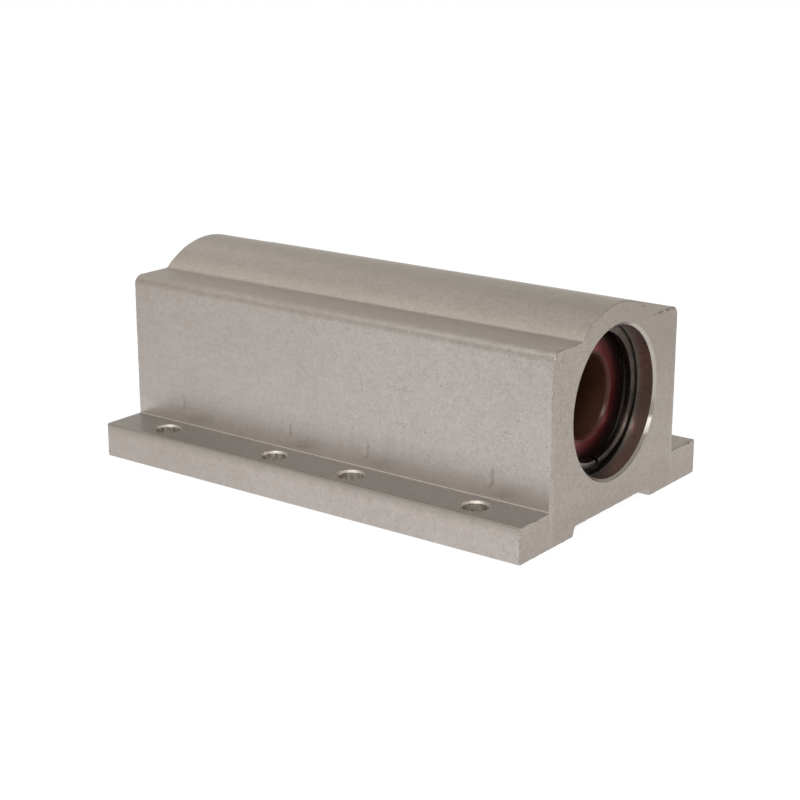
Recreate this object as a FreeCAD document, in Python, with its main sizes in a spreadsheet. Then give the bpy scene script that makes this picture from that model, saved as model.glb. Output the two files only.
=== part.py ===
import FreeCAD, Part
import math
import os
import re
import Sketcher

# Twin linear bearing block for a 5/8 inch shaft.
#
# Frame: +X along the bore, +Y across the base, +Z up, with the origin on the ground under the
# middle of the block. The front mouth is the one at +X. Sizes are in millimetres and degrees.

doc = FreeCAD.newDocument("bearing_block")

# Driving dimensions
sizes = doc.addObject("Spreadsheet::Sheet", "sizes")
DRIVING_SIZES = (
    # shaft and plain bearings
    ("shaft_diameter", 15.875),
    ("shaft_running_gap", 0.035),
    ("liner_thickness", 0.68),
    ("liner_lead_in_length", 0.7),
    ("liner_lead_in_rise", 0.35),
    ("bearing_length", 38.1),
    ("bearing_setback", 6.35),
    ("bearing_spacing", 12.7),
    ("bearing_bore_gap", 0.2),
    ("shell_end_chamfer", 0.8),
    # O-rings round each bearing
    ("seal_cord_diameter", 1.78),
    ("seal_squeezed_height", 1.5),
    ("seal_groove_width", 2.3),
    ("seal_offset", 10.5),
    # bore of the housing
    ("bore_diameter", 29.0),
    ("bore_height", 22.225),
    ("mouth_chamfer", 0.55),
    # retaining rings and their grooves
    ("ring_groove_depth", 0.6),
    ("ring_groove_width", 1.4),
    ("ring_groove_offset", 1.0),
    ("ring_thickness", 1.07),
    ("ring_groove_play", 0.08),
    ("ring_reach", 1.7),
    ("ring_gap", 1.0),
    ("ring_free_angle", 125.0),
    ("ring_outer_drift", 1.3),
    ("ring_inner_drift", 0.45),
    ("ring_turn", 4.0),
    # extruded section
    ("body_width", 44.45),
    ("flange_width", 9.525),
    ("flange_thickness", 7.05),
    ("arch_wall", 4.55),
    ("shoulder_rise", 14.2),
    ("foot_width", 17.65),
    ("relief_depth", 1.85),
    ("relief_side_lean", 0.75),
    ("shoulder_corner_radius", 1.6),
    ("flange_corner_radius", 1.4),
    ("flange_root_radius", 0.2),
    ("arch_root_radius", 0.8),
    ("foot_corner_radius", 0.4),
    ("end_edge_break", 0.2),
    # screw holes
    ("inner_hole_spacing", 19.05),
    ("outer_hole_spacing", 76.2),
    ("hole_diameter", 4.9),
    ("hole_deburr", 0.4),
)

# Sizes that follow from the driving ones
DERIVED_SIZES = (
    ("block_length", "2 * (bearing_setback + bearing_length) + bearing_spacing"),
    ("bearing_centre", "(bearing_spacing + bearing_length) / 2"),
    ("base_width", "body_width + 2 * flange_width"),
    ("relief_half_width", "base_width / 2 - foot_width"),
    ("hole_row", "(body_width + flange_width) / 2"),
    ("hole_rim_diameter", "hole_diameter + 2 * hole_deburr"),
    ("bore_radius", "bore_diameter / 2"),
    ("arch_radius", "bore_radius + arch_wall"),
    ("shoulder_height", "bore_height + shoulder_rise"),
    ("groove_radius", "bore_radius + ring_groove_depth"),
    ("outer_groove_place", "bearing_centre + bearing_length / 2 + ring_groove_offset"),
    ("inner_groove_place", "bearing_spacing / 2 - ring_groove_offset"),
    ("shell_radius", "bore_radius - bearing_bore_gap"),
    ("liner_bore_radius", "shaft_diameter / 2 + shaft_running_gap"),
    ("liner_outer_radius", "liner_bore_radius + liner_thickness"),
    ("seal_floor_radius", "bore_radius - seal_squeezed_height"),
    ("seal_flat_length", "pi / 4 * (seal_cord_diameter ^ 2 / seal_squeezed_height - seal_squeezed_height)"),
    ("seal_middle_radius", "bore_radius - seal_squeezed_height / 2"),
    ("ring_outer_radius", "groove_radius - ring_groove_play"),
    ("ring_inner_radius", "bore_radius - ring_reach"),
    ("arch_foot", "sqrt(arch_radius ^ 2 - shoulder_rise ^ 2)"),
)

rows = DRIVING_SIZES + tuple((name, "=" + formula) for name, formula in DERIVED_SIZES)
for row, (name, content) in enumerate(rows, 1):
    sizes.set(f"A{row}", name)
    sizes.set(f"B{row}", str(content))
    sizes.setAlias(f"B{row}", name)
doc.recompute()

ALIASES = {name for name, content in rows}


def cell(text):
    """An expression over the sizes, with each alias pointed at the sheet."""
    return re.sub(r"[a-z_]+", lambda word: ("sizes." if word[0] in ALIASES else "") + word[0], text)


def value_of(text):
    """The number that such an expression gives now."""
    return float(sizes.evalExpression(cell(text)))


# Bodies, planes and sketches
# The points of an edge, and the two axes that every sketch has, as constraints count them
START, END, CENTRE = range(1, 4)
HORIZONTAL_AXIS, VERTICAL_AXIS = range(-1, -3, -1)
ORIGIN_POINT = (HORIZONTAL_AXIS, START)
NEAR = 0.001


def new_body(label):
    body = doc.addObject("PartDesign::Body", label)
    body.Label = label
    return body


def origin_plane(body, role):
    return next(plane for plane in body.Origin.OriginFeatures if plane.Role == role)


def new_sketch(body, name, role, lift=None):
    """A sketch on one of the body's origin planes. lift moves it along its own Y or normal."""
    sketch = body.newObject("Sketcher::SketchObject", name)
    sketch.AttachmentSupport = [(origin_plane(body, role), "")]
    sketch.MapMode = "FlatFace"
    if lift:
        axis, text = lift
        sketch.setExpression("AttachmentOffset.Base." + axis, cell(text))
    return sketch


def flat_point(across, up):
    """A point of a sketch, from two expressions."""
    return FreeCAD.Vector(value_of(across), value_of(up), 0)


def circle(centre, radius):
    return Part.Circle(centre, FreeCAD.Vector(0, 0, 1), radius)


def add_lines(sketch, points):
    """Straight lines from each point to the next."""
    for start, end in zip(points, points[1:]):
        sketch.addGeometry(Part.LineSegment(start, end))


def constrain(sketch, kind, *parts):
    return sketch.addConstraint(Sketcher.Constraint(kind, *parts))


def drive(sketch, text, kind, *parts):
    """A dimension in a sketch, tied to the sheet."""
    index = constrain(sketch, kind, *parts, value_of(text))
    sketch.setExpression(f"Constraints[{index}]", cell(text))


def place_point(sketch, edge, end, across=None, up=None):
    """Ties one end of an edge to its place from the sketch's origin, or leaves a direction free."""
    for text, axis, kind in ((across, VERTICAL_AXIS, "DistanceX"), (up, HORIZONTAL_AXIS, "DistanceY")):
        if text == "0":
            constrain(sketch, "PointOnObject", edge, end, axis)
        elif text:
            drive(sketch, text, kind, *ORIGIN_POINT, edge, end)


def join_ends(sketch):
    """Joins the end of each edge to the start of the next, all the way round."""
    count = sketch.GeometryCount
    for edge in range(count):
        constrain(sketch, "Coincident", edge, END, (edge + 1) % count, START)


def closed_outline(sketch, corners):
    """Straight lines through the corners, each corner a pair of expressions for its place."""
    points = [flat_point(across, up) for across, up in corners]
    add_lines(sketch, points + points[:1])
    join_ends(sketch)
    for edge, (across, up) in enumerate(corners):
        place_point(sketch, edge, START, across, up)


def both_halves(corners):
    """The corners of one half of a section, followed by their mirror images, back to the first."""
    return list(corners) + [(f"-({across})", up) for across, up in reversed(corners)]


def turned(body, sketch, kind, name):
    """A full turn of the sketch about its own horizontal axis, adding or cutting."""
    feature = body.newObject("PartDesign::" + kind, name)
    feature.Profile = sketch
    feature.ReferenceAxis = (sketch, ["H_Axis"])
    feature.Angle = 360
    return feature


def edge_names(shape, wanted):
    """The names of the edges whose middle point satisfies wanted(edge, middle)."""
    names = []
    for index, edge in enumerate(shape.Edges, 1):
        middle = edge.valueAt((edge.FirstParameter + edge.LastParameter) / 2)
        if wanted(edge, middle):
            names.append(f"Edge{index}")
    return names


def dressed(body, kind, name, names, size_name):
    """A fillet or chamfer on named edges of the body's last feature."""
    last = body.Tip
    feature = body.newObject("PartDesign::" + kind, name)
    feature.Base = (last, names)
    feature.setExpression("Radius" if kind == "Fillet" else "Size", cell(size_name))
    doc.recompute()


# Housing: one extruded length, bored through, grooved for the rings and drilled in its flanges
def section_sketch(body):
    """The extruded section: feet, flanges, flat shoulders and the arch round the bore."""
    sketch = new_sketch(body, "extruded_section", "YZ_Plane")
    right_corners = (
        ("relief_half_width - relief_side_lean", "relief_depth"),
        ("relief_half_width", "0"),
        ("base_width / 2", "0"),
        ("base_width / 2", "flange_thickness"),
        ("body_width / 2", "flange_thickness"),
        ("body_width / 2", "shoulder_height"),
    )
    right = [flat_point(across, up) for across, up in right_corners]
    left = [FreeCAD.Vector(-point.x, point.y, 0) for point in reversed(right)]
    foot_angle = math.asin(value_of("shoulder_rise / arch_radius"))
    arch_circle = circle(flat_point("0", "bore_height"), value_of("arch_radius"))
    arch = Part.ArcOfCircle(arch_circle, foot_angle, math.pi - foot_angle)
    add_lines(sketch, right + [arch.StartPoint])
    arch_edge = sketch.addGeometry(arch)
    add_lines(sketch, [arch.EndPoint] + left + right[:1])
    join_ends(sketch)
    last_edge = sketch.GeometryCount - 1
    for edge, (across, up) in enumerate(right_corners):
        place_point(sketch, edge, START, across, up)
        constrain(sketch, "Symmetric", edge, START, last_edge - edge, START, VERTICAL_AXIS)
    place_point(sketch, arch_edge, CENTRE, "0", "bore_height")
    drive(sketch, "arch_radius", "Radius", arch_edge)
    place_point(sketch, arch_edge, START, up="shoulder_height")
    place_point(sketch, arch_edge, END, up="shoulder_height")
    return sketch


def long_edges(shape, across, up):
    """Both edges that run the length of the block at this distance from its middle plane."""
    side = value_of(across)
    height = value_of(up)

    def wanted(edge, middle):
        at_place = abs(abs(middle.y) - side) < NEAR and abs(middle.z - height) < NEAR
        return at_place and abs(middle.x) < NEAR

    return edge_names(shape, wanted)


def cut_end_edges(shape):
    """The outline of both cut ends of the block."""
    half_length = value_of("block_length / 2")
    return edge_names(shape, lambda edge, middle: abs(abs(middle.x) - half_length) < NEAR)


def lower_hole_edges(shape):
    """The rims of the screw holes in the undersides of the feet."""
    hole_radius = value_of("hole_diameter / 2")

    def wanted(edge, middle):
        hole_round = isinstance(edge.Curve, Part.Circle) and abs(edge.Curve.Radius - hole_radius) < NEAR
        return hole_round and abs(middle.z) < NEAR

    return edge_names(shape, wanted)


def extrude_section(body):
    extrusion = body.newObject("PartDesign::Pad", "extrusion")
    extrusion.Profile = section_sketch(body)
    extrusion.SideType = "Symmetric"
    extrusion.setExpression("Length", cell("block_length"))
    doc.recompute()
    rounded_edges = (
        ("shoulder_corner", "body_width / 2", "shoulder_height"),
        ("flange_corner", "base_width / 2", "flange_thickness"),
        ("foot_corner", "base_width / 2", "0"),
        ("flange_root", "body_width / 2", "flange_thickness"),
        ("arch_root", "arch_foot", "shoulder_height"),
    )
    for name, across, up in rounded_edges:
        dressed(body, "Fillet", name + "s", long_edges(body.Shape, across, up), name + "_radius")
    dressed(body, "Chamfer", "cut_end_edges", cut_end_edges(body.Shape), "end_edge_break")


def bore_through(body):
    """The bore with its two chamfered mouths and four ring grooves, turned as one profile."""
    sketch = new_sketch(body, "bore_profile", "XZ_Plane", ("y", "bore_height"))
    corners = [
        ("block_length / 2", "0"),
        ("block_length / 2", "bore_radius + mouth_chamfer"),
        ("block_length / 2 - mouth_chamfer", "bore_radius"),
    ]
    for groove_start in ("outer_groove_place + ring_groove_width", "inner_groove_place"):
        groove_end = groove_start + " - ring_groove_width"
        corners += [(groove_start, "bore_radius"), (groove_start, "groove_radius")]
        corners += [(groove_end, "groove_radius"), (groove_end, "bore_radius")]
    closed_outline(sketch, both_halves(corners))
    turned(body, sketch, "Groove", "bore")
    doc.recompute()


def drill_flanges(body):
    """Eight through holes, four down the middle of each flange, with their rims broken."""
    sketch = new_sketch(body, "hole_places", "XY_Plane", ("z", "flange_thickness"))
    spacings = ("inner_hole_spacing", "outer_hole_spacing")
    along_places = [sign + spacing + " / 2" for spacing in spacings for sign in ("", "-")]
    for along in along_places:
        for across in ("hole_row", "-hole_row"):
            hole = sketch.addGeometry(circle(flat_point(along, across), value_of("hole_diameter / 2")))
            place_point(sketch, hole, CENTRE, along, across)
            drive(sketch, "hole_diameter", "Diameter", hole)
    doc.recompute()
    holes = body.newObject("PartDesign::Hole", "screw_holes")
    holes.Profile = sketch
    holes.DepthType = "ThroughAll"
    holes.HoleCutType = "Countersink"
    holes.HoleCutCountersinkAngle = 90
    holes.setExpression("Diameter", cell("hole_diameter"))
    holes.setExpression("HoleCutDiameter", cell("hole_rim_diameter"))
    doc.recompute()
    dressed(body, "Chamfer", "lower_hole_rims", lower_hole_edges(body.Shape), "hole_deburr")


def make_housing():
    body = new_body("housing")
    extrude_section(body)
    bore_through(body)
    drill_flanges(body)
    return body


# Bearing: a turned shell with two seal grooves, lined with a polymer tube and ringed by two seals
def turned_piece(label, half_section):
    """A piece turned about its own X axis, the same on both sides of its middle."""
    body = new_body(label)
    sketch = new_sketch(body, label + "_section", "XZ_Plane")
    closed_outline(sketch, both_halves(half_section))
    turned(body, sketch, "Revolution", label + "_turning")
    return body


SHELL_HALF_SECTION = (
    ("bearing_length / 2", "liner_outer_radius"),
    ("bearing_length / 2", "shell_radius - shell_end_chamfer"),
    ("bearing_length / 2 - shell_end_chamfer", "shell_radius"),
    ("seal_offset + seal_groove_width / 2", "shell_radius"),
    ("seal_offset + seal_groove_width / 2", "seal_floor_radius"),
    ("seal_offset - seal_groove_width / 2", "seal_floor_radius"),
    ("seal_offset - seal_groove_width / 2", "shell_radius"),
)

LINER_HALF_SECTION = (
    ("bearing_length / 2", "liner_outer_radius"),
    ("bearing_length / 2", "liner_bore_radius + liner_lead_in_rise"),
    ("bearing_length / 2 - liner_lead_in_length", "liner_bore_radius"),
)


def make_seal(label):
    """A round cord pressed flat between the floor of its groove and the wall of the bore."""
    body = new_body(label)
    sketch = new_sketch(body, label + "_section", "XZ_Plane")
    right, left = "seal_flat_length / 2", "-seal_flat_length / 2"
    floor, wall, middle = "seal_floor_radius", "bore_radius", "seal_middle_radius"
    round_radius = value_of("seal_squeezed_height / 2")
    quarter = math.pi / 2
    right_circle = circle(flat_point(right, middle), round_radius)
    left_circle = circle(flat_point(left, middle), round_radius)
    add_lines(sketch, [flat_point(left, floor), flat_point(right, floor)])
    sketch.addGeometry(Part.ArcOfCircle(right_circle, -quarter, quarter))
    add_lines(sketch, [flat_point(right, wall), flat_point(left, wall)])
    sketch.addGeometry(Part.ArcOfCircle(left_circle, quarter, 3 * quarter))
    join_ends(sketch)
    floor_line, right_round, wall_line, left_round = range(4)
    place_point(sketch, floor_line, START, left, floor)
    place_point(sketch, floor_line, END, right, floor)
    place_point(sketch, wall_line, START, right, wall)
    place_point(sketch, wall_line, END, left, wall)
    place_point(sketch, right_round, CENTRE, across=right)
    place_point(sketch, left_round, CENTRE, across=left)
    turned(body, sketch, "Revolution", label + "_turning")
    return body


# Retaining ring: an open flat ring whose two free ends narrow and stand in from the groove
def ring_side(sketch, radius_name, drift_name):
    """One edge of the ring: a seated arc over the top and a drifting arc down to each tip."""
    radius = value_of(radius_name)
    drift = value_of(drift_name)
    seat_angle = math.radians(value_of("ring_free_angle - 90"))
    drift_across = drift * math.cos(seat_angle)
    drift_up = drift * math.sin(seat_angle)
    drift_radius = radius - drift
    tip_angle = math.acos((value_of("ring_gap / 2") - drift_across) / drift_radius)
    seated_circle = circle(FreeCAD.Vector(0, 0, 0), radius)
    right_circle = circle(FreeCAD.Vector(drift_across, drift_up, 0), drift_radius)
    left_circle = circle(FreeCAD.Vector(-drift_across, drift_up, 0), drift_radius)
    right = sketch.addGeometry(Part.ArcOfCircle(right_circle, -tip_angle, seat_angle))
    seated = sketch.addGeometry(Part.ArcOfCircle(seated_circle, seat_angle, math.pi - seat_angle))
    left = sketch.addGeometry(Part.ArcOfCircle(left_circle, math.pi - seat_angle, math.pi + tip_angle))
    constrain(sketch, "Tangent", right, END, seated, START)
    constrain(sketch, "Tangent", seated, END, left, START)
    constrain(sketch, "Coincident", seated, CENTRE, *ORIGIN_POINT)
    drive(sketch, radius_name, "Radius", seated)
    seat_across = radius_name + " * sin(ring_free_angle)"
    place_point(sketch, seated, START, across=seat_across)
    place_point(sketch, seated, END, across="-" + seat_across)
    drive(sketch, f"{radius_name} - {drift_name}", "Radius", right)
    drive(sketch, f"{radius_name} - {drift_name}", "Radius", left)
    place_point(sketch, right, START, across="ring_gap / 2")
    place_point(sketch, left, END, across="-ring_gap / 2")
    return (right, START), (left, END)


def make_retaining_ring(label):
    body = new_body(label)
    sketch = new_sketch(body, label + "_outline", "YZ_Plane")
    outer_tips = ring_side(sketch, "ring_outer_radius", "ring_outer_drift")
    inner_tips = ring_side(sketch, "ring_inner_radius", "ring_inner_drift")
    for outer_tip, inner_tip in zip(outer_tips, inner_tips):
        tip_line = Part.LineSegment(sketch.getPoint(*outer_tip), sketch.getPoint(*inner_tip))
        tip = sketch.addGeometry(tip_line)
        constrain(sketch, "Coincident", tip, START, *outer_tip)
        constrain(sketch, "Coincident", tip, END, *inner_tip)
    blank = body.newObject("PartDesign::Pad", label + "_blank")
    blank.Profile = sketch
    blank.setExpression("Length", cell("ring_thickness"))
    body.Placement.Rotation = FreeCAD.Rotation(FreeCAD.Vector(1, 0, 0), value_of("ring_turn"))
    body.setExpression("Placement.Rotation.Angle", cell("ring_turn"))
    return body


def place_on_bore(body, along):
    """Puts a piece that was drawn round its own X axis on the axis of the bore."""
    body.setExpression("Placement.Base.x", cell(along))
    body.setExpression("Placement.Base.z", cell("bore_height"))
    return body


# The assembled block: the housing, and a bearing with its seals and rings in each half
RING_PLACES = {
    "front_outboard": "outer_groove_place",
    "front_inboard": "inner_groove_place - ring_thickness",
    "rear_outboard": "-outer_groove_place - ring_thickness",
    "rear_inboard": "-inner_groove_place",
}
pieces = [make_housing()]
for half, sign in (("front", ""), ("rear", "-")):
    centre = sign + "bearing_centre"
    pieces.append(place_on_bore(turned_piece(half + "_bearing_shell", SHELL_HALF_SECTION), centre))
    pieces.append(place_on_bore(turned_piece(half + "_bearing_liner", LINER_HALF_SECTION), centre))
    for end, offset in (("outboard", "seal_offset"), ("inboard", "-seal_offset")):
        seal_place = f"{sign}(bearing_centre + {offset})"
        pieces.append(place_on_bore(make_seal(f"{half}_{end}_o_ring"), seal_place))
        ring = make_retaining_ring(f"{half}_{end}_retaining_ring")
        pieces.append(place_on_bore(ring, RING_PLACES[f"{half}_{end}"]))
doc.recompute()

# Every feature must have worked before anything is written
failed = [item.Label for item in doc.Objects if "Invalid" in item.State or "Error" in item.State]
if failed:
    raise RuntimeError("these features failed: " + ", ".join(failed))
for piece in pieces:
    if piece.Shape.isNull() or not piece.Shape.isValid() or len(piece.Shape.Solids) != 1:
        raise RuntimeError(piece.Label + " isn't one valid solid")

os.makedirs("parts", exist_ok=True)
for piece in pieces:
    piece.Shape.exportStep(f"parts/{piece.Label}.step")
    print(piece.Label, round(piece.Shape.Volume, 1))
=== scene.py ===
import math

import bmesh
import bpy
from mathutils import Matrix, Vector, noise


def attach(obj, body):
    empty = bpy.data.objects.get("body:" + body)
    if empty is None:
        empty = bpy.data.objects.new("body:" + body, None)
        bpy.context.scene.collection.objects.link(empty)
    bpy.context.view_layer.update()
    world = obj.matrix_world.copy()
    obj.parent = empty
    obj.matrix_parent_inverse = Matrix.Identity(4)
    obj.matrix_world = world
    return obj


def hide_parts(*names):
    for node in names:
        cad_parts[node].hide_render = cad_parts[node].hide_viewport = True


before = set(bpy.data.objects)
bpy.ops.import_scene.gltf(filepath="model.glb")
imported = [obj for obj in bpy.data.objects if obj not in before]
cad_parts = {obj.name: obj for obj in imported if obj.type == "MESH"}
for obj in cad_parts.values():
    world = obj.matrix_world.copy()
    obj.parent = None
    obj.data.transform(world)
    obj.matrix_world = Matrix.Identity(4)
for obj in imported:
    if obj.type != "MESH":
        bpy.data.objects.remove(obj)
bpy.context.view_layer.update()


# Housing. One length of extruded aluminium with side flanges, sawn and faced at both ends, its
# outlines broken by hand, and matte clear anodised. It is then bored from mouth to mouth, grooved
# for the four retaining rings and drilled, so its bore and screw holes are bare metal.
MM = 0.001
HALF_LENGTH = 50.8 * MM
HALF_BASE = 31.75 * MM
HALF_BODY = 22.225 * MM
FLANGE_TOP = 7.05 * MM
SHOULDER_TOP = 36.425 * MM
BORE_HEIGHT = 22.225 * MM
ARCH_RADIUS = 19.05 * MM
RELIEF_TOP = 1.85 * MM
RELIEF_HALF_TOP = 13.35 * MM
RELIEF_HALF_FOOT = 14.1 * MM
END_EDGE_BREAK = 0.12 * MM
BORE_RADIUS = 14.5 * MM
MOUTH_CHAMFER = 0.55 * MM
GROOVE_RADIUS = 15.1 * MM
GROOVE_WIDTH = 1.4 * MM
OUTER_GROOVE = 45.45 * MM
INNER_GROOVE = 3.95 * MM
HOLE_RADIUS = 2.45 * MM
HOLE_DEBURR = 0.4 * MM
HOLE_ROW = 26.9875 * MM
HOLE_PLACES = (9.525 * MM, 38.1 * MM)
BORE_CENTRE = Vector((0, 0, BORE_HEIGHT))
ALONG = Vector((1, 0, 0))
# Marks that a drill chuck left on the near wall behind each screw hole: the place of each along the
# block and its top and bottom from the bore's axis, in millimetres, and its strength
CHUCK_MARKS = ((-37.7, -9.6, -12.2, 0.3), (-9.3, -9.2, -12.9, 0.6), (9.9, -8.9, -13.2, 0.45),
               (38.5, -8.6, -12.9, 0.6))
# Rough spots of the near wall, crowded with pits: the place of each along the block, its height
# from the bore's axis and its reach, in millimetres
ROUGH_SPOTS = ((42.0, -3.4, 4.2), (35.2, -7.2, 2.2), (18.0, 2.0, 2.4), (17.6, -5.2, 2.0),
               (44.0, -8.4, 1.6), (13.8, -7.2, 1.8), (5.2, -5.2, 2.0), (27.0, 5.5, 2.0))
# Nicks in the outline of the front end: the place of each across and up from the foot, its reach
# and its depth, in millimetres
NICKS = ((15.4, 36.4, 0.6, 0.3), (16.7, 36.4, 0.5, 0.35), (18.4, 36.4, 0.7, 0.4),
         (20.3, 36.3, 0.5, 0.3), (27.6, 7.0, 0.6, 0.25), (29.3, 6.9, 0.8, 0.4),
         (30.8, 6.5, 0.6, 0.3), (-22.1, 35.7, 0.5, 0.2), (-9.4, 38.8, 0.6, 0.25),
         (8.8, 39.1, 0.7, 0.3), (-31.75, 5.3, 0.5, 0.2), (-26.4, 7.05, 0.6, 0.2))
# How much the broken outline of an end wanders: waves per metre, and their depth in millimetres
WANDERINGS = ((900, 0.1), (2600, 0.08))


class Value:
    """What a shader node gives. Arithmetic on it adds Math nodes, and node() adds any other node."""

    def __init__(self, socket):
        self.socket = socket

    def node(self, kind, inputs, output=0, **settings):
        """A new node, with its settings and then the values or links of its inputs."""
        tree = self.socket.id_data
        made = tree.nodes.new("ShaderNode" + kind)
        for name, setting in settings.items():
            setattr(made, name, setting)
        for name, value in inputs.items():
            if isinstance(value, Value):
                tree.links.new(value.socket, made.inputs[name])
            else:
                made.inputs[name].default_value = value
        return Value(made.outputs[output])

    def math(self, operation, *values):
        return self.node("Math", dict(enumerate((self, *values))), operation=operation)

    def __add__(self, other):
        return self.math("ADD", other)

    def __sub__(self, other):
        return self.math("SUBTRACT", other)

    def __rsub__(self, other):
        return (self - other) * -1

    def __mul__(self, other):
        return self.math("MULTIPLY", other)

    def __pow__(self, other):
        return self.math("POWER", other)

    def __abs__(self):
        return self.math("ABSOLUTE")

    __radd__ = __add__
    __rmul__ = __mul__

    def at_least(self, other):
        return self.math("MAXIMUM", other)

    def coordinates(self):
        return [self.node("SeparateXYZ", {0: self}, output) for output in range(3)]

    def step(self, start, end):
        """A smooth rise from 0 at start to 1 at end, or a fall where start is the larger."""
        ends = {"Value": self, "From Min": start, "From Max": end}
        return self.node("MapRange", ends, interpolation_type="SMOOTHSTEP")

    def noise(self, per_mm, detail=2, stretch=(1, 1, 1), roughness=0.5):
        """Noise with this many features per millimetre, drawn out where stretch is small."""
        place = self.node("Mapping", {"Vector": self, "Scale": stretch})
        inputs = {"Vector": place, "Scale": per_mm, "Detail": detail, "Roughness": roughness}
        return place.node("TexNoise", inputs)

    def rings(self, per_mm, detail=2):
        """Noise along one value, for the marks that a turning tool leaves."""
        inputs = {"W": self, "Scale": per_mm, "Detail": detail}
        return self.node("TexNoise", inputs, noise_dimensions="1D")

    def specks(self, per_mm, share, small, large):
        """Round specks of these radii, in this share of the cells of a pattern of cells."""
        cells = {"Vector": self, "Scale": per_mm}
        away = self.node("TexVoronoi", cells, "Distance")
        chance, growth = self.node("TexVoronoi", cells, "Color").coordinates()[:2]
        radius = (small + growth * (large - small)) * per_mm
        return (radius - away).step(0, small * per_mm) * chance.step(1 - share, 1.02 - share)

    def between(self, start, end):
        """The mix of two colours, with this value as the share of the second."""
        colours = [value if isinstance(value, Value) else (*value, 1) for value in (start, end)]
        return self.node("Mix", {0: self, 6: colours[0], 7: colours[1]}, output=2, data_type="RGBA")


def new_finish(name):
    """A material, and the place of a point of its surface from the bore's axis, in millimetres."""
    material = bpy.data.materials.new(name)
    material.use_nodes = True
    place = Value(material.node_tree.nodes.new("ShaderNodeTexCoord").outputs["Object"])
    from_axis = {"Vector": place, "Location": (0, 0, -BORE_HEIGHT / MM), "Scale": (1 / MM,) * 3}
    return material, place.node("Mapping", from_axis)


def radius_of(place):
    """The distance from the bore's axis."""
    across = place.node("VectorMath", {0: place, 1: (0, 1, 1)}, operation="MULTIPLY")
    return across.node("VectorMath", {0: across}, output="Value", operation="LENGTH")


def finish_with(material, colour, roughness, relief, metallic=1.0, **fixed):
    """Sets the shader: colour and roughness, relief as a height in millimetres, and fixed values."""
    shader = material.node_tree.nodes["Principled BSDF"]
    bump = relief.node("Bump", {"Height": relief, "Strength": 1.0, "Distance": MM})
    inputs = {"Base Color": colour, "Roughness": roughness, "Normal": bump}
    for name, value in inputs.items():
        material.node_tree.links.new(value.socket, shader.inputs[name])
    shader.inputs["Metallic"].default_value = metallic
    for name, value in fixed.items():
        shader.inputs[name].default_value = value
    return material


def chuck_marks(place, along, up):
    """A ragged dark U for each mark, rubbed lighter inside, and much darker on its right."""
    half_width = 1.1
    ragged = place.noise(0.8, detail=4, roughness=0.6) - 0.5
    patches = place.noise(1.1, detail=4, roughness=0.65).step(0.3, 0.6)
    marks = 0
    for right, top, bottom, strength in CHUCK_MARKS:
        away = along - (right - half_width) + ragged * 1.3
        below = (bottom + half_width - up + ragged * 0.8).at_least(0)
        reach = (away ** 2 + below ** 2) ** 0.5
        line = abs(reach - half_width).step(0.5, 0.0) * (away.step(-0.6, 1.0) * 0.85 + 0.15)
        rubbed = reach.step(half_width - 0.2, 0.3) * up.step(bottom + 3, bottom + 0.5) * 0.4
        marks = marks + (line - rubbed) * up.step(top + 0.6, top - 1.8) * strength
    return marks * patches


def rough_spots(place, along, up):
    """A ragged patch at each rough spot, which fades out towards its reach."""
    ragged = place.noise(0.6, detail=3) - 0.5
    spots = 0
    for spot_along, spot_up, reach in ROUGH_SPOTS:
        away = ((along - spot_along) ** 2 + (up - spot_up) ** 2) ** 0.5
        spots = spots + (away + ragged * reach).step(reach, reach * 0.3)
    return spots


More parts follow.
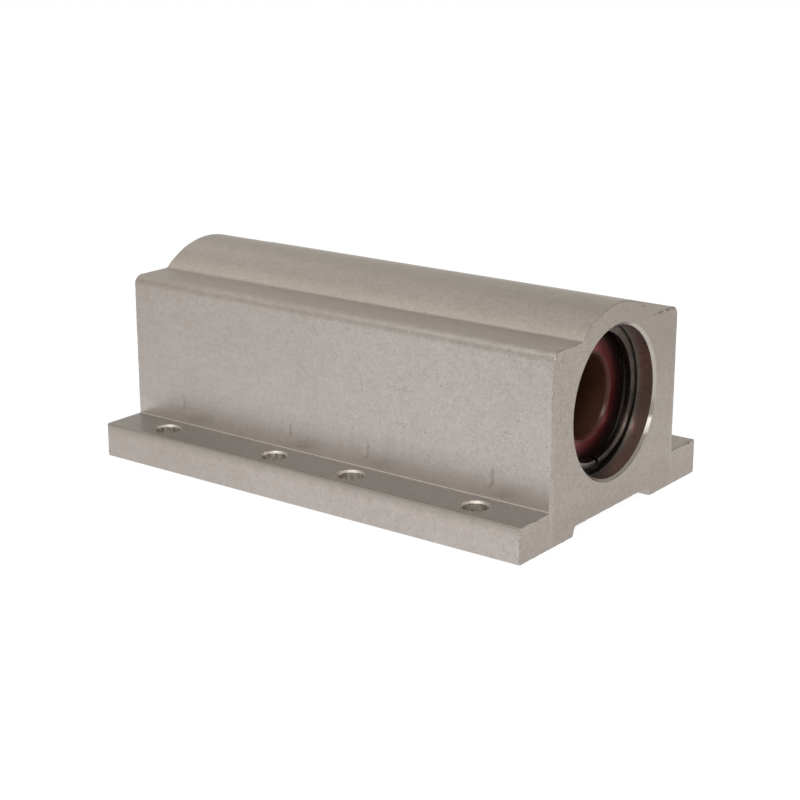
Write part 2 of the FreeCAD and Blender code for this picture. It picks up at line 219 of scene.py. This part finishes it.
def anodised_skin():
    """Etched and clear anodised: a mottled fine grain, with dark pits, stains and scratches in loose
    clusters, most of them near the front. Painted shade darkens the near flange, its top with a
    bluish grey and its outer face most near the top, and the shoulders' rounded corners towards the
    front. Painted light lightens the side walls towards the front and the near wall's foot, and
    painted shade darkens them towards the top. The cut ends are coarser, darkened all over by painted
    shade, and their broken outlines are dark in some places and bright in others."""
    material, place = new_finish("clear_anodised_aluminium")
    along, across, up = place.coordinates()
    near_side = across.step(-22.0, -22.15)
    near_flange = across.step(-22.3, -22.4)
    side_wall = abs(across).step(20.8, 21.6)
    handled = along.step(-60, 50) * side_wall
    cut_end = abs(along).step(50.72, 50.79)
    extruded = 1 - cut_end
    shoulder_corner = up.step(12.0, 13.2) * side_wall * extruded
    broken = place.node("Attribute", {}, output="Fac", attribute_name="broken")
    clouds = place.noise(0.05, detail=3)
    grain = place.noise(2.2, detail=3, roughness=0.75)
    blotches = place.noise(0.9, detail=2) * 0.7 + place.noise(0.35, detail=1) * 0.3
    die_lines = place.noise(1.2, detail=3, stretch=(0.012, 1, 1))
    crowd = place.noise(0.11, detail=2).step(0.42, 0.62) * 0.6 + 0.4
    clusters = place.noise(0.3, detail=3).step(0.56, 0.66)
    exposed = handled * 0.8 + cut_end * 0.6 + 0.2
    spots = rough_spots(place, along, up) * near_side
    pitted = (clusters * 0.6 + crowd * 0.15) * exposed + spots * 0.75
    pits = place.specks(1.4, 0.75, 0.06, 0.17) * pitted
    glints = place.specks(0.87, 0.35, 0.05, 0.13) * exposed
    stains = place.noise(0.45, detail=4, roughness=0.6).step(0.56, 0.75) * crowd
    rubs = place.noise(2.6, detail=2, stretch=(0.25, 1, 1)).step(0.66, 0.76) * 0.6
    drops = place.noise(2.6, detail=2, stretch=(1, 1, 0.12)).step(0.66, 0.76)
    scratches = (rubs + drops) * crowd * handled
    marks = chuck_marks(place, along, up) * near_side
    grain_contrast = handled * 0.85 + spots * 1.1 - side_wall * 0.45 + cut_end * 1.5 + 1.3
    blotch_contrast = handled * 0.4 + cut_end * 0.3 + 0.8
    # Painted light: the near wall is lighter at its foot, just above the flange
    lit_wall_foot = (across.step(-20.8, -21.6) - near_flange) * up.step(-10.5, -14)
    # Painted light and shade: the side walls lighter towards the front and darker towards the top
    painted_light_gradient = along.step(-70, 25) * 0.3 - up.step(-12, 16) * 0.26 - 0.06
    shade = (grain - 0.5) * grain_contrast + (blotches - 0.5) * blotch_contrast
    shade = shade + (clouds - 0.5) * 0.35 + (die_lines - 0.5) * 0.2 + painted_light_gradient * side_wall + 0.5
    shade = shade - marks * 1.8 + lit_wall_foot * 0.3
    # Painted shade: a bluish grey darkening over the near flange's top and over the front of the
    # shoulders' rounded corners
    flange_and_corner_shade = near_flange * up.step(-17, -15.1) * extruded + shoulder_corner * handled * 0.65
    # Painted shade: the near flange's outer face a little darker, most near its top corner
    flange_edge_shade = across.step(-31.1, -31.5) * (up.step(-18, -15.3) * 0.25 + 0.08) * extruded
    # Painted shade: the cut ends darker all over, and more towards their top on the far side and
    # towards their bottom
    end_shade_gradient = (across * 0.6 + up).step(2, 22) * 0.22 + up.step(-14, -19) * 0.12
    shaded_end = cut_end * (end_shade_gradient + 0.32)
    colour = shade.between((0.34, 0.303, 0.281), (0.51, 0.466, 0.45))
    colour = (flange_and_corner_shade * 0.34).between(colour, (0.19, 0.22, 0.25))
    colour = (stains * 0.2 + flange_edge_shade + shaded_end).between(colour, (0.24, 0.196, 0.145))
    colour = (scratches * 0.4 + pits * 0.8).between(colour, (0.13, 0.11, 0.09))
    colour = (glints * 0.5).between(colour, (0.85, 0.82, 0.78))
    edge = grain.step(0.44, 0.52).between((0.1, 0.085, 0.07), (0.64, 0.6, 0.57))
    colour = broken.between(colour, edge)
    roughness = 0.31 + grain * 0.06 + stains * 0.06 + broken * 0.25 + shoulder_corner * 0.14
    relief = grain * 0.03 + die_lines * 0.006 - pits * 0.05 - scratches * 0.01
    return finish_with(material, colour, roughness, relief, metallic=0.85)


def bored_metal():
    """Bare aluminium with the close rings that a boring bar leaves, a painted reddish reflection of
    the shells near each mouth and painted shade in the ring grooves. The chamfer is brighter, and at
    one height a band of it is painted near white and made smoother, a painted highlight."""
    material, place = new_finish("bored_aluminium")
    along, up = place.coordinates()[::2]
    radius = radius_of(place)
    feed = (radius * 1.7 + along).rings(4, detail=3)
    clouds = place.noise(0.25, detail=3)
    chamfer = abs(along).step(50.2, 50.3)
    # Painted shade: the ring grooves are near black
    groove = radius.step(14.52, 14.62) * (1 - chamfer)
    # Painted reflection: a reddish band in the bore near each mouth, for the red shells seen in it
    red_reflection = abs(along).step(46.6, 48.4) * 0.8
    # Painted highlight: a band of the chamfer at one height, near white and smoother
    glint_band = chamfer * up.step(-9.4, -8.6) * up.step(-5.6, -6.4)
    chamfer_colour = clouds.between((0.38, 0.35, 0.32), (0.5, 0.465, 0.43))
    shade = feed * 0.5 + clouds * 0.5
    colour = shade.between((0.24, 0.218, 0.2), (0.36, 0.33, 0.31))
    colour = red_reflection.between(colour, (0.32, 0.2, 0.185))
    colour = groove.between(colour, (0.04, 0.037, 0.034))
    colour = chamfer.between(colour, chamfer_colour)
    colour = glint_band.between(colour, (0.95, 0.93, 0.91))
    roughness = 0.22 + clouds * 0.12 - chamfer * 0.04 - glint_band * 0.08
    return finish_with(material, colour, roughness, feed * 0.015, metallic=0.8)


def drilled_metal():
    """Bare aluminium, torn down the hole as the drill came out, and evener round its upper rim."""
    material, place = new_finish("drilled_aluminium")
    up = place.coordinates()[2]
    feed = up.rings(3.5, detail=3)
    torn = place.noise(1.0, detail=4, roughness=0.7, stretch=(1, 1, 0.5))
    rim = up.step(-15.62, -15.5)
    shade = torn.step(0.35, 0.65)
    colour = shade.between((0.28, 0.26, 0.24), (0.62, 0.58, 0.55))
    colour = (rim * 0.8).between(colour, (0.41, 0.385, 0.37))
    roughness = 0.36 + torn * 0.16
    return finish_with(material, colour, roughness, feed * 0.06 + torn * 0.16, metallic=0.8)


def new_piece(name, model, *finishes):
    """An object with the mesh that was modelled, its faces turned outwards."""
    bmesh.ops.recalc_face_normals(model, faces=model.faces)
    mesh = bpy.data.meshes.new(name)
    model.to_mesh(mesh)
    model.free()
    mesh.shade_smooth()
    for finish in finishes:
        mesh.materials.append(finish)
    piece = bpy.data.objects.new(name, mesh)
    bpy.context.scene.collection.objects.link(piece)
    return piece


def keep_edges_crisp(piece, corner=28):
    """Edges sharper than this angle in degrees stay crisp, and flat faces stay flat between bevels."""
    piece.data.set_sharp_from_angle(angle=math.radians(corner))
    weighted = piece.modifiers.new("weighted_normals", "WEIGHTED_NORMAL")
    weighted.keep_sharp = True


def loop_of(model, points):
    """A closed loop of edges through points."""
    corners = [model.verts.new(point) for point in points]
    for start, end in zip(corners, corners[1:] + corners[:1]):
        model.edges.new((start, end))


def verts_of(geometry):
    return [part for part in geometry if isinstance(part, bmesh.types.BMVert)]


def turn_about(model, centre, axis, steps):
    """Turns all that is in the model once round an axis, and closes its seam and poles."""
    bmesh.ops.spin(model, geom=model.verts[:] + model.edges[:], cent=centre, axis=axis,
                   dvec=(0, 0, 0), angle=math.tau, steps=steps, use_merge=True, use_duplicate=False)
    bmesh.ops.remove_doubles(model, verts=model.verts, dist=MM / 10000)


def turned(model, half_profile, steps=256):
    """A piece turned round the bore's axis: its profile is given from the middle of its length out,
    as places along and out from the axis, and is the same on the other side of the middle."""
    far_side = [(-along, out) for along, out in reversed(half_profile)]
    loop_of(model, [(along, 0, BORE_HEIGHT + out) for along, out in [*half_profile, *far_side]])
    turn_about(model, BORE_CENTRE, ALONG, steps)


def edges_where(model, wanted):
    return [edge for edge in model.edges if wanted(*edge.verts)]


def rounded(model, edges, size, segments):
    return bmesh.ops.bevel(model, geom=edges, offset=size, offset_type="OFFSET", segments=segments,
                           profile=0.5, affect="EDGES", material=-1, clamp_overlap=False)


def crisp_edges(model, corner=25):
    bmesh.ops.recalc_face_normals(model, faces=model.faces)
    return [edge for edge in model.edges if edge.calc_face_angle(0) > math.radians(corner)]


def extruded_section(model):
    """The section's right half, from the relief channel round the flange to the top of the arch,
    is mirrored, filled and drawn out to the block's length, and then its corners are rounded."""
    foot_rise = SHOULDER_TOP - BORE_HEIGHT
    arch_foot = math.sqrt(ARCH_RADIUS ** 2 - foot_rise ** 2)
    arch_turn = math.atan2(arch_foot, foot_rise)
    corners = (
        (0, RELIEF_TOP), (RELIEF_HALF_TOP, RELIEF_TOP), (RELIEF_HALF_FOOT, 0), (HALF_BASE, 0),
        (HALF_BASE, FLANGE_TOP), (HALF_BODY, FLANGE_TOP), (HALF_BODY, SHOULDER_TOP),
        (arch_foot, SHOULDER_TOP),
    )
    outline = [model.verts.new((-HALF_LENGTH, across, up)) for across, up in corners]
    for start, end in zip(outline, outline[1:]):
        model.edges.new((start, end))
    bmesh.ops.spin(model, geom=outline[-1:], cent=BORE_CENTRE, axis=ALONG, dvec=(0, 0, 0),
                   angle=arch_turn, steps=40, use_merge=False, use_duplicate=False)
    bmesh.ops.mirror(model, geom=model.verts[:] + model.edges[:], merge_dist=MM / 1000, axis="Y")
    face = bmesh.ops.contextual_create(model, geom=model.edges[:])["faces"]
    drawn = bmesh.ops.extrude_face_region(model, geom=face)["geom"]
    bmesh.ops.translate(model, verts=verts_of(drawn), vec=(2 * HALF_LENGTH, 0, 0))
    # The bevel's size is how far the rounding reaches along each face, so it's smaller than the
    # radius at the shallow corner between a shoulder and the arch
    for across, up, size, segments in (
        (HALF_BODY, SHOULDER_TOP, 1.9 * MM, 14),
        (HALF_BASE, FLANGE_TOP, 0.5 * MM, 6),
        (HALF_BASE, 0, 0.4 * MM, 5),
        (HALF_BODY, FLANGE_TOP, 0.2 * MM, 4),
        (arch_foot, SHOULDER_TOP, 0.306 * MM, 4),
        (RELIEF_HALF_FOOT, 0, 0.15 * MM, 3),
        (RELIEF_HALF_TOP, RELIEF_TOP, 0.25 * MM, 3),
    ):
        def along_corner(*ends):
            return all(abs(abs(end.co.y) - across) < MM / 100 and abs(end.co.z - up) < MM / 100
                       for end in ends)

        rounded(model, edges_where(model, along_corner), size, segments)


def broken_outlines(model):
    """Breaks the outline of both ends and lets it wander, as a file does, and nicks the front one,
    as use does. The attribute tells the finish where, and most of all in the nicks."""
    spacing = 0.45 * MM
    broken = model.verts.layers.float.new("broken")

    def at_one_end(start, end):
        places = (start.co, end.co)
        on_end = all(abs(place.x) > HALF_LENGTH - MM / 100 for place in places)
        clear_of_mouth = all(math.hypot(place.y, place.z - BORE_HEIGHT) > BORE_RADIUS + MM
                             for place in places)
        return on_end and clear_of_mouth and start.co.x * end.co.x > 0

    for edge in edges_where(model, at_one_end):
        cuts = int(edge.calc_length() / spacing)
        if cuts:
            bmesh.ops.subdivide_edges(model, edges=[edge], cuts=cuts)
    made = rounded(model, edges_where(model, at_one_end), END_EDGE_BREAK, 3)["verts"]
    model.normal_update()
    for vert, outward in [(vert, vert.normal.copy()) for vert in made]:
        on_end = abs(vert.co.x) > HALF_LENGTH - MM / 1000
        on_side = abs(vert.co.x) < HALF_LENGTH - END_EDGE_BREAK + MM / 1000
        if on_end:
            outward.x = 0
        elif on_side:
            outward = Vector((outward.x, 0, 0))
        wander = sum(abs(noise.noise(vert.co * waves)) * depth for waves, depth in WANDERINGS)
        nicked = 0.0
        for across, up, reach, depth in NICKS:
            away = math.hypot(vert.co.y - across * MM, vert.co.z - up * MM) / (reach * MM)
            if vert.co.x > 0 and away < 1:
                wander += depth * (1 - away ** 2)
                nicked = 1 - away
        vert[broken] = 0.0 if on_end or on_side else 0.25 + 0.6 * nicked
        vert.co -= outward.normalized() * wander * MM


def bore_cutter():
    """What is bored away: the bore, a chamfer at each mouth and the four ring grooves."""
    model = bmesh.new()
    overrun = 1.0 * MM
    profile = [
        (INNER_GROOVE, BORE_RADIUS), (INNER_GROOVE, GROOVE_RADIUS),
        (INNER_GROOVE + GROOVE_WIDTH, GROOVE_RADIUS), (INNER_GROOVE + GROOVE_WIDTH, BORE_RADIUS),
        (OUTER_GROOVE, BORE_RADIUS), (OUTER_GROOVE, GROOVE_RADIUS),
        (OUTER_GROOVE + GROOVE_WIDTH, GROOVE_RADIUS), (OUTER_GROOVE + GROOVE_WIDTH, BORE_RADIUS),
        (HALF_LENGTH - MOUTH_CHAMFER, BORE_RADIUS),
        (HALF_LENGTH + overrun, BORE_RADIUS + MOUTH_CHAMFER + overrun),
        (HALF_LENGTH + overrun, 0),
    ]
    turned(model, profile)
    return new_piece("bore_cutter", model, bored_metal())


def hole_cutter():
    """The eight drilled holes, with the deburred rim at both ends of each."""
    model = bmesh.new()
    overrun = 0.5 * MM
    wide = HOLE_RADIUS + HOLE_DEBURR + overrun
    profile = (
        (0, -overrun), (wide, -overrun), (HOLE_RADIUS, HOLE_DEBURR),
        (HOLE_RADIUS, FLANGE_TOP - HOLE_DEBURR), (wide, FLANGE_TOP + overrun),
        (0, FLANGE_TOP + overrun),
    )
    loop_of(model, [(out, 0, up) for out, up in profile])
    turn_about(model, (0, 0, 0), (0, 0, 1), steps=96)
    drill = model.verts[:] + model.edges[:] + model.faces[:]
    for along in (sign * place for place in HOLE_PLACES for sign in (1, -1)):
        for across in (HOLE_ROW, -HOLE_ROW):
            copy = bmesh.ops.duplicate(model, geom=drill)["geom"]
            bmesh.ops.translate(model, verts=verts_of(copy), vec=(along, across, 0))
    bmesh.ops.delete(model, geom=verts_of(drill))
    return new_piece("hole_cutter", model, drilled_metal())


def cut_away(piece, *cutters):
    """Cuts the cutters out of the piece. The cut faces keep the finish of their cutter."""
    for cutter in cutters:
        cut = piece.modifiers.new("cut", "BOOLEAN")
        cut.operation = "DIFFERENCE"
        cut.solver = "EXACT"
        cut.material_mode = "TRANSFER"
        cut.object = cutter
    depsgraph = bpy.context.evaluated_depsgraph_get()
    cut_mesh = bpy.data.meshes.new_from_object(piece.evaluated_get(depsgraph))
    piece.modifiers.clear()
    piece.data = cut_mesh
    for cutter in cutters:
        bpy.data.objects.remove(cutter)


housing_model = bmesh.new()
extruded_section(housing_model)
housing = new_piece("bored_housing", housing_model, anodised_skin())
cut_away(housing, bore_cutter(), hole_cutter())
housing_model = bmesh.new()
housing_model.from_mesh(housing.data)
broken_outlines(housing_model)
housing_model.to_mesh(housing.data)
housing_model.free()
keep_edges_crisp(housing, 35)
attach(housing, "root")
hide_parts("housing")


# Bearing shells. Two aluminium sleeves, turned all over and anodised a glossy dark red, that
# float in the bore on their O-rings. Each has two grooves for the O-rings round its outside.
BEARING_HALF_LENGTH = 19.05 * MM
BEARING_CENTRE = 25.4 * MM
SHELL_RADIUS = 14.3 * MM
SHELL_CHAMFER = 0.8 * MM
SEAL_FLOOR = 13.0 * MM
SEAL_OFFSET = 10.5 * MM
SEAL_GROOVE_WIDTH = 2.3 * MM
LINER_OUTER = 8.6525 * MM
SHELL_EDGE_BREAK = 0.06 * MM


def red_anodised():
    material, place = new_finish("dark_red_anodised_aluminium")
    radius = radius_of(place)
    along = place.coordinates()[0]
    feed = (radius * 1.7 + along).rings(4, detail=4)
    clouds = place.noise(0.3, detail=3)
    colour = (feed * 0.4 + clouds * 0.6).between((0.115, 0.016, 0.022), (0.19, 0.026, 0.035))
    # Painted shade: the shell's face darkens towards its outer edge, in the shade behind the retaining
    # ring
    colour = radius.step(9.3, 12.4).between(colour, (0.05, 0.03, 0.03))
    roughness = 0.14 + clouds * 0.08
    return finish_with(material, colour, roughness, feed * 0.012, metallic=0.78)


shell_finish = red_anodised()
for half, side in (("front", 1), ("rear", -1)):
    model = bmesh.new()
    groove_start = SEAL_OFFSET - SEAL_GROOVE_WIDTH / 2
    groove_end = SEAL_OFFSET + SEAL_GROOVE_WIDTH / 2
    turned(model, (
        (groove_start, SHELL_RADIUS), (groove_start, SEAL_FLOOR), (groove_end, SEAL_FLOOR),
        (groove_end, SHELL_RADIUS), (BEARING_HALF_LENGTH - SHELL_CHAMFER, SHELL_RADIUS),
        (BEARING_HALF_LENGTH, SHELL_RADIUS - SHELL_CHAMFER), (BEARING_HALF_LENGTH, LINER_OUTER),
    ))
    rounded(model, crisp_edges(model), SHELL_EDGE_BREAK, 2)
    bmesh.ops.translate(model, verts=model.verts, vec=(side * BEARING_CENTRE, 0, 0))
    shell = new_piece(half + "_turned_shell", model, shell_finish)
    keep_edges_crisp(shell)
    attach(shell, "root")
    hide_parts(half + "_bearing_shell")


# Bearing liners. A thin tube of brown bearing polymer bonded inside each shell, cut flush with
# the shell's ends and coned there to lead the shaft in. The shaft has polished its bore.
LINER_BORE = 7.9725 * MM
LEAD_IN_LENGTH = 0.7 * MM
LEAD_IN_RISE = 0.35 * MM
LINER_EDGE_BREAK = 0.05 * MM


def brown_polymer():
    material, place = new_finish("brown_bearing_polymer")
    radius = radius_of(place)
    cut = radius.step(8.0, 8.12)
    flecks = place.noise(2.5, detail=4, roughness=0.7)
    rubbed = place.noise(1.2, detail=2, stretch=(0.04, 1, 1))
    shade = flecks * 0.5 + rubbed * 0.5
    colour = shade.between((0.05, 0.02, 0.012), (0.1, 0.042, 0.027))
    colour = (cut * 0.8).between(colour, (0.08, 0.02, 0.018))
    roughness = 0.3 + flecks * 0.12
    relief = flecks * 0.01 + rubbed * 0.006
    fixed = {"Specular IOR Level": 0.3}
    return finish_with(material, colour, roughness, relief, metallic=0.0, **fixed)


liner_finish = brown_polymer()
for half, side in (("front", 1), ("rear", -1)):
    model = bmesh.new()
    turned(model, (
        (BEARING_HALF_LENGTH, LINER_OUTER), (BEARING_HALF_LENGTH, LINER_BORE + LEAD_IN_RISE),
        (BEARING_HALF_LENGTH - LEAD_IN_LENGTH, LINER_BORE),
    ), steps=192)
    rounded(model, crisp_edges(model), LINER_EDGE_BREAK, 2)
    bmesh.ops.translate(model, verts=model.verts, vec=(side * BEARING_CENTRE, 0, 0))
    liner = new_piece(half + "_liner_tube", model, liner_finish)
    keep_edges_crisp(liner)
    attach(liner, "root")
    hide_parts(half + "_bearing_liner")


# O-rings. Two moulded rubber cords round each shell, pressed flat between the floor of their
# groove and the bore, which hold the bearing in place and let it line itself up with the shaft.
SEAL_HEIGHT = 1.5 * MM
SEAL_FLAT = 0.4808 * MM


def moulded_rubber():
    material, place = new_finish("black_seal_rubber")
    grain = place.noise(5, detail=3)
    clouds = place.noise(0.3, detail=2)
    colour = (clouds * 0.6 + grain * 0.4).between((0.012, 0.012, 0.012), (0.035, 0.034, 0.033))
    return finish_with(material, colour, 0.55 + grain * 0.2, grain * 0.01, metallic=0.0)


seal_finish = moulded_rubber()
for half, side in (("front", 1), ("rear", -1)):
    for end, offset in (("outboard", SEAL_OFFSET), ("inboard", -SEAL_OFFSET)):
        model = bmesh.new()
        middle = BORE_HEIGHT + BORE_RADIUS - SEAL_HEIGHT / 2
        upright = Matrix.Translation((0, 0, middle)) @ Matrix.Rotation(math.pi / 2, 4, "X")
        cord = bmesh.ops.create_circle(model, segments=24, radius=SEAL_HEIGHT / 2, matrix=upright)
        for vert in cord["verts"]:
            vert.co.x += math.copysign(SEAL_FLAT / 2, vert.co.x)
        turn_about(model, BORE_CENTRE, ALONG, steps=160)
        bmesh.ops.translate(model, verts=model.verts, vec=(side * (BEARING_CENTRE + offset), 0, 0))
        seal = new_piece(f"{half}_{end}_seal_ring", model, seal_finish)
        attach(seal, "root")
        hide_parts(f"{half}_{end}_o_ring")


# Retaining rings. Open flat rings stamped from oiled spring steel, which spring out into a
# groove at each end of each bearing. Their free ends narrow and stand in from the groove.
RING_THICKNESS = 1.07 * MM
RING_OUTER = 15.02 * MM
RING_INNER = 12.8 * MM
OUTER_DRIFT = 1.3 * MM
INNER_DRIFT = 0.45 * MM
RING_GAP = 1.0 * MM
RING_EDGE_BREAK = 0.06 * MM
SEATED_TURN = math.radians(55)
RING_TURN = math.radians(4)


def shaded_ring_edges():
    """Painted shade: near black, for the ring's inner and outer edges."""
    material, place = new_finish("spring_steel_shaded_edges")
    streaks = place.noise(2, detail=3, stretch=(0.3, 1, 1))
    colour = streaks.between((0.02, 0.018, 0.017), (0.06, 0.055, 0.05))
    return finish_with(material, colour, 0.35 + streaks * 0.2, streaks * 0.02)


def spring_steel():
    material, place = new_finish("oiled_spring_steel")
    rolled = place.noise(1.8, detail=3, stretch=(1, 0.15, 1))
    stain = place.noise(0.35, detail=4)
    shade = rolled * 0.45 + stain.step(0.3, 0.7) * 0.55
    colour = shade.between((0.1, 0.09, 0.083), (0.24, 0.22, 0.205))
    roughness = 0.22 + stain * 0.16
    relief = rolled * 0.004 + stain * 0.004
    return finish_with(material, colour, roughness, relief, metallic=0.8)


def ring_rail(model, radius, drift):
    """One edge of the ring's right half: from the top round the seated arc, then in to the tip."""
    seat_angle = math.pi / 2 - SEATED_TURN
    drift_place = Vector((0, math.cos(seat_angle), math.sin(seat_angle))) * drift
    tip_angle = math.acos((RING_GAP / 2 - drift_place.y) / (radius - drift))
    last = [model.verts.new(BORE_CENTRE + Vector((0, 0, radius)))]
    for centre, angle, steps in (
        (BORE_CENTRE, SEATED_TURN, 48),
        (BORE_CENTRE + drift_place, seat_angle + tip_angle, 96),
    ):
        last = bmesh.ops.spin(model, geom=last, cent=centre, axis=-ALONG, dvec=(0, 0, 0),
                              angle=angle, steps=steps, use_merge=False,
                              use_duplicate=False)["geom_last"]


face_finish = spring_steel()
# The rings' inner and outer edges take a near-black painted shade
edge_shade_finish = shaded_ring_edges()
for node, place in (
    ("front_outboard", OUTER_GROOVE), ("front_inboard", INNER_GROOVE + GROOVE_WIDTH - RING_THICKNESS),
    ("rear_outboard", -OUTER_GROOVE - RING_THICKNESS), ("rear_inboard", -INNER_GROOVE - GROOVE_WIDTH),
):
    model = bmesh.new()
    ring_rail(model, RING_OUTER, OUTER_DRIFT)
    ring_rail(model, RING_INNER, INNER_DRIFT)
    bmesh.ops.bridge_loops(model, edges=model.edges[:])
    bmesh.ops.mirror(model, geom=model.verts[:] + model.edges[:] + model.faces[:],
                     merge_dist=MM / 1000, axis="Y")
    drawn = bmesh.ops.extrude_face_region(model, geom=model.faces[:])["geom"]
    bmesh.ops.translate(model, verts=verts_of(drawn), vec=(RING_THICKNESS, 0, 0))
    model.normal_update()
    for face in model.faces:
        face.material_index = int(abs(face.normal.x) < 0.5)
    rounded(model, crisp_edges(model, 50), RING_EDGE_BREAK, 2)
    bmesh.ops.rotate(model, verts=model.verts, cent=BORE_CENTRE,
                     matrix=Matrix.Rotation(RING_TURN, 3, "X"))
    bmesh.ops.translate(model, verts=model.verts, vec=(place, 0, 0))
    ring = new_piece(node + "_snap_ring", model, face_finish, edge_shade_finish)
    keep_edges_crisp(ring)
    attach(ring, "root")
    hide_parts(node + "_retaining_ring")


# Camera. It stands where the photograph was taken, a little above the block and towards its
# front mouth, with a long lens.
LENS_LENGTH = 81.01
VIEW_AZIMUTH = 37.01
VIEW_HEIGHT = 16.673
VIEW_DISTANCE = 0.36778
MOVED_RIGHT = 0.000635
MOVED_UP = 0.013005


def direction(azimuth, height):
    """Out from the block: azimuth in degrees round from the near side to the front mouth, and
    height in degrees above the table."""
    turn = math.radians(azimuth)
    lift = math.radians(height)
    return Vector((math.sin(turn) * math.cos(lift), -math.cos(turn) * math.cos(lift), math.sin(lift)))


back = direction(VIEW_AZIMUTH, VIEW_HEIGHT)
right = direction(VIEW_AZIMUTH + 90, 0)
camera = bpy.data.objects.new("camera", bpy.data.cameras.new("camera"))
camera.data.lens = LENS_LENGTH
camera.data.sensor_width = 36
camera.data.clip_start = 0.01
camera.location = back * VIEW_DISTANCE + right * MOVED_RIGHT + back.cross(right) * MOVED_UP
camera.rotation_euler = back.to_track_quat("Z", "Y").to_euler()
bpy.context.scene.collection.objects.link(camera)
bpy.context.scene.camera = camera


# Floor and light. A plain white table and a pale sky, as the camera sees them, in a soft grey
# studio with seven square softboxes. The table lies just under the feet, so that the two don't
# share a plane.
TABLE_SIZE = 4.0
TABLE_DROP = 0.02 * MM
TABLE_COLOUR = (0.86, 0.86, 0.86, 1)
TABLE_WHITENESS = 1.06
SHADOW_SHARE = 0.1
STUDIO_GREY = (0.40, 0.386, 0.344, 1)
LAMP_DISTANCE = 1.1
LAMP_COLOUR = (1.0, 0.98, 0.91)


def seen_as_white(tree, shaded, plain, shadow_share):
    """White to the camera and in reflections, with a share of the surface's own shading left in."""
    path = tree.nodes.new("ShaderNodeLightPath")
    camera_ray, glossy_ray, clear_ray = [
        Value(path.outputs[f"Is {kind} Ray"]) for kind in ("Camera", "Glossy", "Transmission")]
    seen = camera_ray.at_least(glossy_ray).at_least(clear_ray)
    return seen.node("MixShader", {0: seen * (1 - shadow_share), 1: shaded, 2: plain})


floor_model = bmesh.new()
bmesh.ops.create_grid(floor_model, x_segments=1, y_segments=1, size=TABLE_SIZE)
bmesh.ops.translate(floor_model, verts=floor_model.verts, vec=(0, 0, -TABLE_DROP))
floor_material = bpy.data.materials.new("white_table")
floor_material.use_nodes = True
floor_tree = floor_material.node_tree
floor_shader = floor_tree.nodes["Principled BSDF"]
floor_shader.inputs["Base Color"].default_value = TABLE_COLOUR
floor_shader.inputs["Roughness"].default_value = 0.8
plain_white = floor_tree.nodes.new("ShaderNodeEmission")
plain_white.inputs["Strength"].default_value = TABLE_WHITENESS
floor_white = seen_as_white(floor_tree, Value(floor_shader.outputs[0]),
                            Value(plain_white.outputs[0]), SHADOW_SHARE)
floor_tree.links.new(floor_white.socket, floor_tree.nodes["Material Output"].inputs["Surface"])
floor = new_piece("white_table", floor_model, floor_material)

world = bpy.data.worlds.new("studio")
world.use_nodes = True
bpy.context.scene.world = world
world_tree = world.node_tree
surround = world_tree.nodes["Background"]
surround.inputs["Color"].default_value = STUDIO_GREY
pale_sky = Value(world_tree.nodes.new("ShaderNodeBackground").outputs[0])
camera_ray = Value(world_tree.nodes.new("ShaderNodeLightPath").outputs["Is Camera Ray"])
backdrop = camera_ray.node("MixShader", {0: camera_ray, 1: Value(surround.outputs[0]), 2: pale_sky})
world_tree.links.new(backdrop.socket, world_tree.nodes["World Output"].inputs["Surface"])

for name, azimuth, height, size, watts in (
    ("camera_softbox", 37, 42, 0.2, 3.9),
    ("overhead_softbox", 10, 60, 0.6, 6.2),
    ("low_left_softbox", -40, 15, 0.6, 0.7),
    ("mouth_softbox", 62, 24, 0.3, 0.3),
    ("left_softbox", -68, 51, 0.4, 0.37),
    ("side_softbox", -105, 48, 0.8, 0.6),
    ("far_left_softbox", -143, 20, 0.9, 0.46),
):
    light = bpy.data.objects.new(name, bpy.data.lights.new(name, "AREA"))
    light.data.color = LAMP_COLOUR
    light.data.size = size
    light.data.energy = watts
    towards = direction(azimuth, height)
    light.location = towards * LAMP_DISTANCE
    light.rotation_euler = towards.to_track_quat("Z", "Y").to_euler()
    bpy.context.scene.collection.objects.link(light)

bpy.context.scene.view_settings.view_transform = "Standard"
